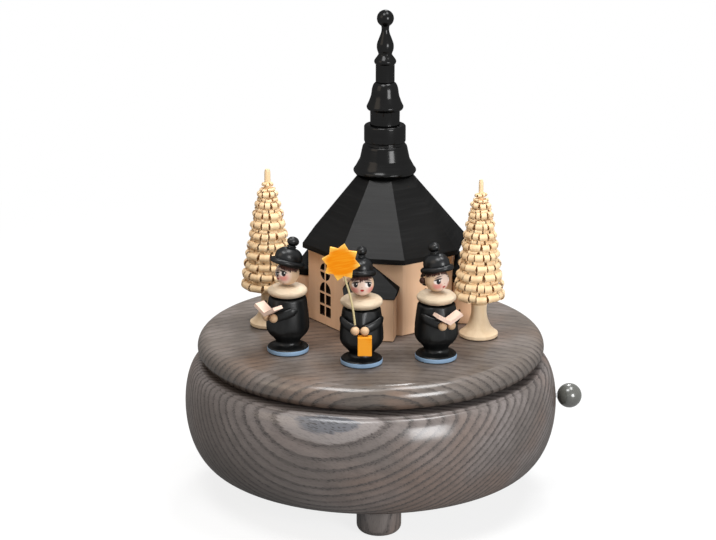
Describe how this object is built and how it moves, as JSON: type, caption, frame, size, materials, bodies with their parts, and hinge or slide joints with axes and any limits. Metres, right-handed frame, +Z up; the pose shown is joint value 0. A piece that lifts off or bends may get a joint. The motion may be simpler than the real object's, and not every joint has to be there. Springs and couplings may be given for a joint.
{
  "type": "wooden music box",
  "caption": "Turned wooden music box with a turning lid that carries an eight-sided church, carol singers and curled-shaving trees over a bowl with a spring movement.",
  "frame": {"origin": "on the table surface under the middle of the outer size, between the three feet", "axes": "+Z up, +X towards the side with the ball knob, -Y is the front of the picture"},
  "size_m": [0.1606, 0.15, 0.1919],
  "materials": {
    "stained_ash": "grey-brown stain with open dark grain under satin lacquer",
    "lid_ash": "grey-brown stain with open dark grain under satin lacquer",
    "knob_stain": "grey-green stain, glossy lacquer",
    "pale_maple": "natural pale wood, matt",
    "roof_stain": "black stain, satin, grain visible",
    "steeple_paint": "black lacquer, turned wood",
    "shaved_wood": "fresh pale shavings, matt",
    "coat_paint": "black paint, satin",
    "collar_wood": "natural pale wood, knife-cut, matt",
    "face_wood": "natural wood with painted faces, satin",
    "book_wood": "pale wood, matt",
    "star_paint": "orange paint, satin",
    "brass": "machined brass",
    "steel": "bright steel"
  },
  "bodies": {
    "base": {"base_body": "stained_ash", "foot_front": "stained_ash", "foot_right": "stained_ash", "foot_left": "stained_ash", "bedplate": "brass", "barrel_bridge": "brass", "comb": "steel", "governor_frame": "brass"},
    "turntable": {"church_roof": "roof_stain", "church_walls": "pale_maple", "great_wheel": "brass", "lantern": "star_paint", "left_singer_arm_left": "coat_paint", "left_singer_arm_right": "coat_paint", "left_singer_body": "coat_paint", "left_singer_book": "book_wood", "left_singer_collar": "collar_wood", "left_singer_hat": "coat_paint", "left_singer_head": "face_wood", "lid": "lid_ash", "lid_hub": "pale_maple", "mainspring": "steel", "porch_back": "pale_maple", "porch_front": "pale_maple", "porch_left": "pale_maple", "porch_right": "pale_maple", "porch_roof_back": "roof_stain", "porch_roof_front": "roof_stain", "porch_roof_left": "roof_stain", "porch_roof_right": "roof_stain", "right_singer_arm_left": "coat_paint", "right_singer_arm_right": "coat_paint", "right_singer_body": "coat_paint", "right_singer_book": "book_wood", "right_singer_collar": "collar_wood", "right_singer_hat": "coat_paint", "right_singer_head": "face_wood", "spring_barrel": "brass", "star": "star_paint", "star_bearer_arm_left": "coat_paint", "star_bearer_arm_right": "coat_paint", "star_bearer_body": "coat_paint", "star_bearer_collar": "collar_wood", "star_bearer_hat": "coat_paint", "star_bearer_head": "face_wood", "star_pole": "shaved_wood", "steeple_base": "steeple_paint", "steeple_finial": "steeple_paint", "steeple_lantern": "steeple_paint", "tree_left_crown": "shaved_wood", "tree_left_foot": "shaved_wood", "tree_right_crown": "shaved_wood", "tree_right_foot": "shaved_wood"},
    "cylinder": {"pin_cylinder": "brass"},
    "governor": {"governor_wheel": "brass"},
    "fan": {"governor_fan": "steel"},
    "key": {"winding_key": "brass", "winding_arbor": "steel"},
    "stop": {"stop_knob": "knob_stain", "stop_rod": "steel"}
  },
  "joints": [
    {"name": "turntable_spin", "type": "hinge", "parent": "base", "child": "turntable", "pos_m": [-0.00535, 0, 0.0559], "axis": [0, 0, 1], "continuous": true},
    {"name": "cylinder_spin", "type": "hinge", "parent": "base", "child": "cylinder", "pos_m": [0.01415, 0, 0.03], "axis": [1, 0, 0], "continuous": true},
    {"name": "governor_spin", "type": "hinge", "parent": "base", "child": "governor", "pos_m": [0.03962, 0.008, 0.03], "axis": [1, 0, 0], "continuous": true},
    {"name": "fan_spin", "type": "hinge", "parent": "base", "child": "fan", "pos_m": [0.04362, 0.0141, 0.03], "axis": [0, 0, 1], "continuous": true},
    {"name": "key_wind", "type": "hinge", "parent": "base", "child": "key", "pos_m": [-0.00535, 0, 0.00665], "axis": [0, 0, 1], "continuous": true},
    {"name": "stop_pull", "type": "slide", "parent": "base", "child": "stop", "axis": [1, 0, 0], "range_m": [0, 0.0045]}
  ],
  "couplings": [
    {"joint": "cylinder_spin", "follows": "turntable_spin", "ratio": 4},
    {"joint": "governor_spin", "follows": "turntable_spin", "ratio": -12},
    {"joint": "fan_spin", "follows": "turntable_spin", "ratio": 144}
  ]
}
